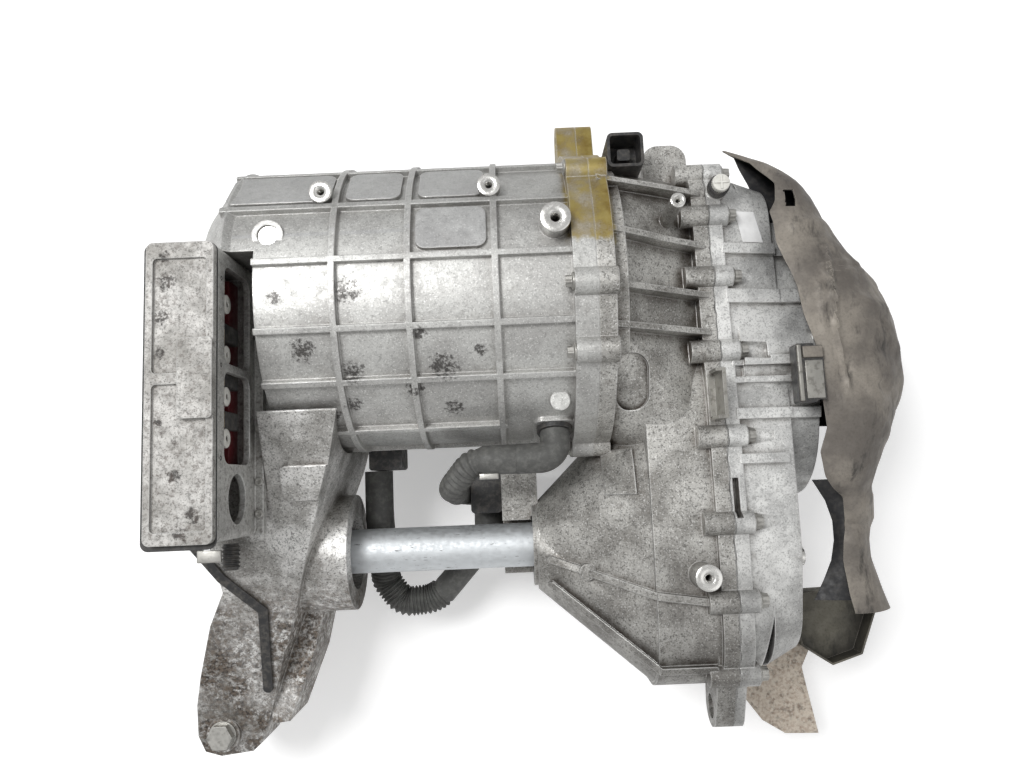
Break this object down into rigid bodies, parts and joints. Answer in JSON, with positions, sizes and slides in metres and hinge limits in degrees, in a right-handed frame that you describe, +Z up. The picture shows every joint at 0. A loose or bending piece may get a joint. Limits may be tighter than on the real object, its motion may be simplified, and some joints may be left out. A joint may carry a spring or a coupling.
{
  "type": "electric drive unit",
  "caption": "Liquid-cooled electric car motor in a ribbed housing with its reduction gear, differential, intermediate shaft, support arm, terminal box, hoses and heat shield.",
  "frame": {"origin": "where the output axis crosses the gearbox's parting plane", "axes": "+X along the shafts towards the gearbox cover, +Y from the output axis towards the motor's side, +Z up, towards the viewer of the picture"},
  "size_m": [0.671, 0.58, 0.3225],
  "materials": {
    "arm_casting": "cast, dirty",
    "bearing_steel": "ground",
    "black_plastic": "moulded",
    "bolt_steel": "plated",
    "box_casting": "die-cast, dirty",
    "bright_plug": "turned",
    "case_iron": "cast and turned",
    "copper_winding": "varnished copper",
    "cover_casting": "die-cast, weathered",
    "end_cap": "die-cast",
    "end_plate": "turned",
    "gasket_rubber": "moulded",
    "gear_steel": "ground and oiled",
    "gearbox_casting": "die-cast, weathered",
    "hose_grey": "moulded, dusty",
    "insulator": "moulded",
    "lamination": "punched stack",
    "lid_casting": "die-cast, dirty",
    "lower_sheet": "formed sheet, matt",
    "motor_casting": "die-cast, weathered",
    "plated_steel": "pressed",
    "rusty_steel": "pressed, rusty",
    "seal_rubber": "moulded",
    "shaft_steel": "satin, scratched",
    "shield_sheet": "formed sheet, matt",
    "terminal_brass": "plated",
    "white_plastic": "moulded"
  },
  "bodies": {
    "housing": {"motor_housing": "motor_casting", "motor_end_cap": "end_cap", "core_plug": "bright_plug", "stator_core": "lamination", "stator_windings": "copper_winding", "resolver_stator": "lamination", "terminal_box": "box_casting", "terminal_box_gasket": "gasket_rubber", "terminal_box_lid": "lid_casting", "terminal_block": "insulator", "phase_terminals": "terminal_brass", "gearbox_housing": "gearbox_casting", "gearbox_cover": "cover_casting", "gearbox_flange_bolts": "bolt_steel", "motor_joint_bolts": "bolt_steel", "output_seals": "seal_rubber", "bearing_outer_rings": "bearing_steel", "support_arm": "arm_casting", "arm_bolt": "bolt_steel", "harness_stay": "black_plastic", "hose_elbow": "hose_grey", "hose_retainer": "black_plastic", "hose_retainer_bolt": "bolt_steel", "upper_hose": "hose_grey", "coolant_union": "black_plastic", "lower_elbow": "hose_grey", "lower_hose": "hose_grey", "lower_connector": "black_plastic", "sensor_connector": "black_plastic", "breather_body": "black_plastic", "breather_cap": "white_plastic", "level_plug": "bright_plug", "lifting_tab": "plated_steel", "heat_shield": "shield_sheet", "lower_shield": "lower_sheet", "shield_clip": "black_plastic", "rear_foot": "rusty_steel"},
    "rotor": {"rotor_core": "lamination", "rotor_end_plates": "end_plate", "rotor_shaft": "gear_steel", "resolver_rotor": "lamination", "rotor_bearing_rings": "bearing_steel"},
    "counter": {"counter_shaft": "gear_steel", "counter_gear": "gear_steel", "counter_bearing_rings": "bearing_steel"},
    "differential": {"ring_gear": "gear_steel", "ring_gear_bolts": "bolt_steel", "differential_case": "case_iron", "differential_pin": "gear_steel", "differential_bearing_rings": "bearing_steel"},
    "left_output": {"left_side_gear": "gear_steel", "intermediate_shaft": "shaft_steel", "support_bearing_ring": "bearing_steel"},
    "right_output": {"right_side_gear": "gear_steel"},
    "spider_upper": {"spider_gear_upper": "gear_steel"},
    "spider_lower": {"spider_gear_lower": "gear_steel"}
  },
  "joints": [
    {"name": "rotor_spin", "type": "hinge", "parent": "housing", "child": "rotor", "pos_m": [-0.24, 0.217, 0.035], "axis": [1, 0, 0], "continuous": true},
    {"name": "counter_spin", "type": "hinge", "parent": "housing", "child": "counter", "pos_m": [-0.02, 0.1125, 0.00066], "axis": [1, 0, 0], "continuous": true},
    {"name": "differential_spin", "type": "hinge", "parent": "housing", "child": "differential", "pos_m": [-0.028, 0, 0], "axis": [1, 0, 0], "continuous": true},
    {"name": "left_action", "type": "hinge", "parent": "differential", "child": "left_output", "pos_m": [-0.028, 0, 0], "axis": [1, 0, 0], "continuous": true},
    {"name": "right_action", "type": "hinge", "parent": "differential", "child": "right_output", "pos_m": [-0.028, 0, 0], "axis": [1, 0, 0], "continuous": true},
    {"name": "spider_upper_spin", "type": "hinge", "parent": "differential", "child": "spider_upper", "pos_m": [-0.028, 0, 0], "axis": [0, 1, 0], "continuous": true},
    {"name": "spider_lower_spin", "type": "hinge", "parent": "differential", "child": "spider_lower", "pos_m": [-0.028, 0, 0], "axis": [0, 1, 0], "continuous": true}
  ],
  "couplings": [
    {"joint": "counter_spin", "follows": "rotor_spin", "ratio": -0.35385},
    {"joint": "differential_spin", "follows": "rotor_spin", "ratio": 0.12005},
    {"joint": "right_action", "follows": "left_action", "ratio": -1},
    {"joint": "spider_upper_spin", "follows": "left_action", "ratio": 1.6},
    {"joint": "spider_lower_spin", "follows": "left_action", "ratio": -1.6}
  ]
}
